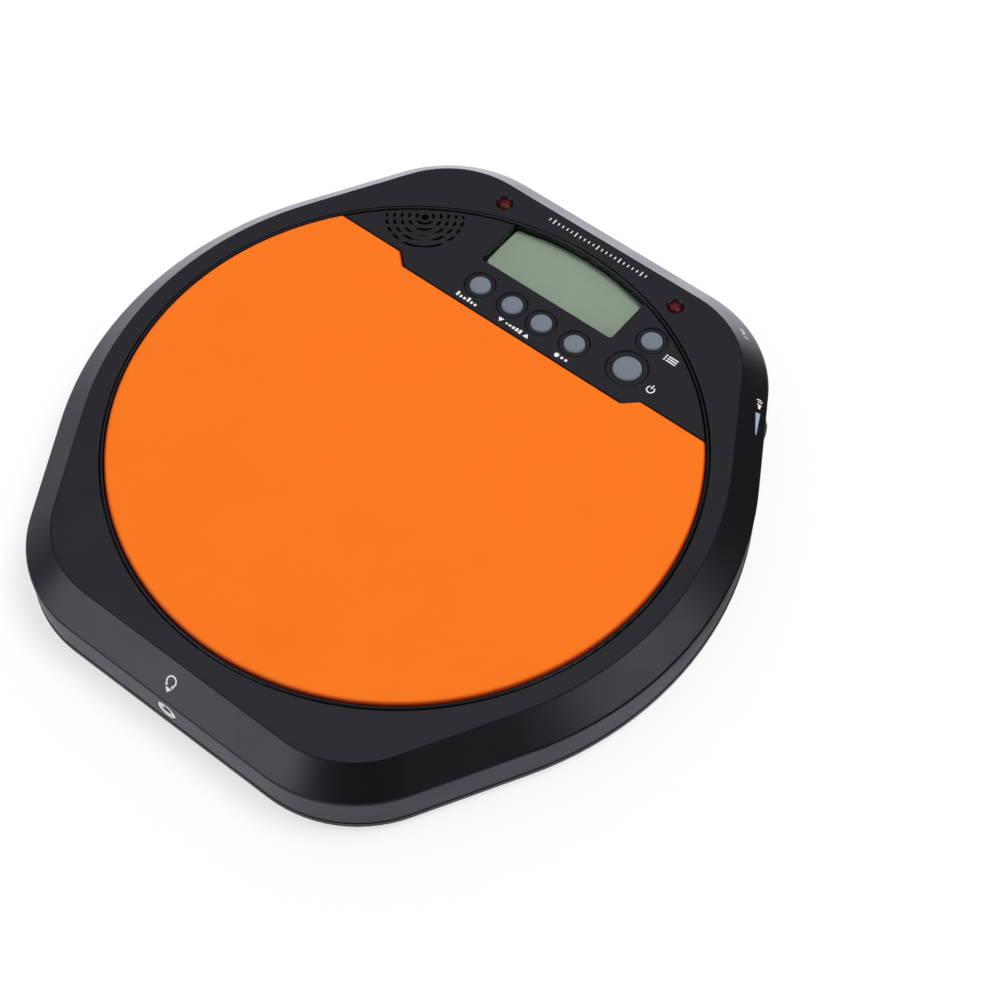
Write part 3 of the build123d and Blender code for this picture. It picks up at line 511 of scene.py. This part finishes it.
def plate(name, outlines, low, high, rounding, finish):
    """A flat piece with rounded upper edges; each outline is a function of how far it is inset."""
    mesh = bmesh.new()
    levels = [(0, low)]
    for step in range(ROUNDING_STEPS + 1):
        turn = pi / 2 * step / ROUNDING_STEPS
        levels.append((rounding * (1 - cos(turn)), high - rounding * (1 - sin(turn))))
    rims = {low: [], high: []}
    for outline in outlines:
        rings = [[mesh.verts.new((x, y, height)) for x, y in outline(inset)] for inset, height in levels]
        for lower, upper in zip(rings, rings[1:]):
            for here in range(len(lower)):
                mesh.faces.new((lower[here - 1], lower[here], upper[here], upper[here - 1]))
        for height, ring in ((low, rings[0]), (high, rings[-1])):
            rims[height] += [mesh.edges.get((ring[here - 1], ring[here])) for here in range(len(ring))]
    for rim in rims.values():
        bmesh.ops.triangle_fill(mesh, edges=rim, use_beauty=True)
    return add_piece(name, mesh, finish)


def make_playing_surface():
    pad_line = stepped_disc(-pad_low.y, pad_high.y, panel_front_y - STEP_GAP)
    pad = plate("playing_surface", [pad_line], pad_low.z, pad_high.z, PAD_ROUNDING,
                "pad_rubber")
    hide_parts("drum_pad")

    foam_inset = foam_low.y - pad_low.y
    foam_line = stepped_disc(-foam_low.y, foam_high.y, panel_front_y - STEP_GAP - foam_inset)

    def window(inset):
        return arc(PICKUP_PLACE, PICKUP_WINDOW_R + inset, 0, 2 * pi, WINDOW_POINTS)[:-1]
    foam = plate("foam_layer", [foam_line, window], foam_low.z, foam_high.z, FOAM_ROUNDING,
                 "foam")
    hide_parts("pad_foam")


# ------------------------------------------------------------------ display border
DISPLAY_HALF_WIDTH = 28.6 * MM
DISPLAY_FRONT_Y = 79.3 * MM
DISPLAY_BACK_R = 102.3 * MM
DISPLAY_CORNER = 1.8 * MM
BORDER_T = 0.12 * MM
BORDER_GAP = 0.02 * MM
FIELD_POINTS = 24


def make_display_border():
    """The black border printed round the display's field, which ends in an arc at the back."""
    def glass_edge(inset):
        return [(glass_low.x, glass_low.y), (glass_high.x, glass_low.y),
                (glass_high.x, glass_high.y), (glass_low.x, glass_high.y)]

    def field_edge(inset):
        corner_x = DISPLAY_HALF_WIDTH - DISPLAY_CORNER
        corner_y = DISPLAY_FRONT_Y + DISPLAY_CORNER
        reach = atan2(sqrt(DISPLAY_BACK_R ** 2 - DISPLAY_HALF_WIDTH ** 2), DISPLAY_HALF_WIDTH)
        return [
            *arc((-corner_x, corner_y), DISPLAY_CORNER, pi, 1.5 * pi, CORNER_POINTS),
            *arc((corner_x, corner_y), DISPLAY_CORNER, 1.5 * pi, 2 * pi, CORNER_POINTS),
            *arc((0, 0), DISPLAY_BACK_R, reach, pi - reach, FIELD_POINTS),
        ]
    low = glass_high.z + BORDER_GAP
    plate("display_border", [glass_edge, field_edge], low, low + BORDER_T, 0.0,
          "black_part")


# ------------------------------------------------------------------ printed marks
INK_T = 0.04 * MM
ABOVE_CASE = 100 * MM
ABOVE_MARK = 1 * MM
DOT_POINTS = 20
BAND_POINTS = 24
LABEL_Y = 60.0                             # millimetres: the line of marks in front of the small keys
RIGHTWARD = (1, 0)
shell_faces = [BVHTree.FromObject(nodes[name], bpy.context.evaluated_depsgraph_get())
               for name in ("top_shell", "control_panel")]


def surface_below(start, direction):
    """The nearest point of the case or panel along a ray, and the way that face looks."""
    hits = [tree.ray_cast(start, direction) for tree in shell_faces]
    hits = [hit for hit in hits if hit[0] is not None]
    return min(hits, key=lambda hit: hit[3])[:2]


def place_on_case(x, y, heading):
    """A frame on the surface below a point in millimetres: x runs along heading, z out of the surface."""
    point, up = surface_below(Vector((x * MM, y * MM, ABOVE_CASE)), Vector((0, 0, -1)))
    along = Vector((*heading, 0))
    along = (along - along.dot(up) * up).normalized()
    frame_axes = Matrix((along, up.cross(along), up)).transposed().to_4x4()
    return Matrix.Translation(point) @ frame_axes


def printed(name, place, outlines, finish="white_ink"):
    """A mark of thin raised ink that follows the surface below it; outlines are in millimetres."""
    mesh = bmesh.new()
    up = (place.to_3x3() @ Vector((0, 0, 1))).normalized()
    for outline in outlines:
        points = [surface_below(place @ Vector((x * MM, y * MM, ABOVE_MARK)), -up)[0] for x, y in outline]
        lower = [mesh.verts.new(point - up * INK_T) for point in points]
        upper = [mesh.verts.new(point + up * INK_T) for point in points]
        mesh.faces.new(upper)
        mesh.faces.new(lower[::-1])
        for here in range(len(points)):
            mesh.faces.new((lower[here - 1], lower[here], upper[here], upper[here - 1]))
    add_piece(name, mesh, finish)


def bar(x, y, width, height):
    """A rectangle about a point."""
    return [(x - width / 2, y - height / 2), (x + width / 2, y - height / 2),
            (x + width / 2, y + height / 2), (x - width / 2, y + height / 2)]


def dot(x, y, radius):
    return arc((x, y), radius, 0, 2 * pi, DOT_POINTS)[:-1]


def band(x, y, inner, outer, start, end):
    """A stretch of a ring, between two angles in degrees."""
    start, end = radians(start), radians(end)
    return arc((x, y), outer, start, end, BAND_POINTS) + arc((x, y), inner, end, start, BAND_POINTS)


def make_key_marks():
    """Small pictograms beside the keys, where a player looks for what each one does."""
    printed("mark_rhythm", place_on_case(-21.5, LABEL_Y, RIGHTWARD), [
        shape for x in (-3.9, 0.9)
        for shape in (bar(x, 0, 0.9, 1.9), bar(x + 1.6, -0.45, 0.9, 1.0), bar(x + 3.2, -0.45, 0.9, 1.0))
    ])
    printed("mark_slower", place_on_case(-6.4, LABEL_Y, RIGHTWARD), [
        [(-1.15, 0.85), (0, -0.85), (1.15, 0.85)],
    ])
    printed("mark_faster", place_on_case(5.2, LABEL_Y, RIGHTWARD), [
        [(-1.15, -0.85), (1.15, -0.85), (0, 0.85)],
    ])
    printed("mark_tempo", place_on_case(-0.5, LABEL_Y, RIGHTWARD), [
        bar(1.5 * step, 0, 1.0, height) for step, height in enumerate((0.6, 0.8, 1.1, 1.4, 1.7), -2)
    ])
    printed("mark_beat", place_on_case(20.5, LABEL_Y, RIGHTWARD), [
        dot(-1.9, 0, 0.9), dot(0.3, 0, 0.55), dot(2.1, 0, 0.55),
    ])
    printed("mark_mode", place_on_case(51.0, 82.7, RIGHTWARD), [
        shape for row in (-1, 0, 1) for shape in (dot(-2.1, row, 0.35), bar(0.7, row, 4.0, 0.5))
    ])
    printed("mark_power", place_on_case(53.0, 68.2, RIGHTWARD), [
        band(0, 0, 1.15, 1.6, 125, 415), bar(0, 1.25, 0.45, 1.7),
    ])


def make_scale():
    """A plain scale of fine lines behind the display, in place of wording."""
    middle_x, scale_y, pitch, lines = 0.85, 107.3, 1.95, 23
    width, long_line, short_line = 0.4, 2.2, 1.2
    place = place_on_case(middle_x, scale_y, RIGHTWARD)
    offsets = range(-(lines // 2), lines // 2 + 1)
    printed("mark_scale", place, [
        bar(offset * pitch, 0, width, long_line if offset % 5 == 0 else short_line) for offset in offsets
    ])


def make_socket_marks():
    """Pictograms on the bevels: headphones, direct current, loudness."""
    head = place_on_case(-0.4, -115.9, RIGHTWARD)
    printed("mark_headphones", head, [
        band(0, 0, 1.5, 2.05, -55, 235), bar(-1.25, -1.55, 0.9, 0.85), bar(1.25, -1.55, 0.9, 0.85),
    ])
    arrow = place_on_case(-0.3, -118.0, RIGHTWARD)
    printed("mark_plug_here", arrow, [[(-1.35, 0.55), (0, -1.1), (1.35, 0.55)]])

    corner_turn = radians(62)
    current = place_on_case(62.6, 111.6, (sin(corner_turn), -cos(corner_turn)))
    printed("mark_direct_current", current, [
        bar(0, 0.6, 5.0, 0.5), *[bar(x, -0.6, 1.2, 0.5) for x in (-1.9, 0, 1.9)],
    ])

    flank_turn = radians(30)
    along = (-sin(flank_turn), cos(flank_turn))
    wedge = place_on_case(87.75, 83.25, along)
    printed("mark_louder", wedge, [[(-4.6, -0.25), (-4.6, 0.25), (4.2, 1.15), (4.8, -1.15)]], "blue_ink")
    sound = place_on_case(83.6, 90.9, along)
    printed("mark_loudness", sound, [
        [(-2.3, -0.5), (-1.4, -0.5), (-0.5, -1.2), (-0.5, 1.2), (-1.4, 0.5), (-2.3, 0.5)],
        band(-0.6, 0, 1.0, 1.35, -45, 45), band(-0.6, 0, 1.9, 2.25, -45, 45),
    ])


make_camera()
make_stage()
finishes = make_finishes()
dress_nodes(finishes)
make_playing_surface()
make_display_border()
make_key_marks()
make_scale()
make_socket_marks()
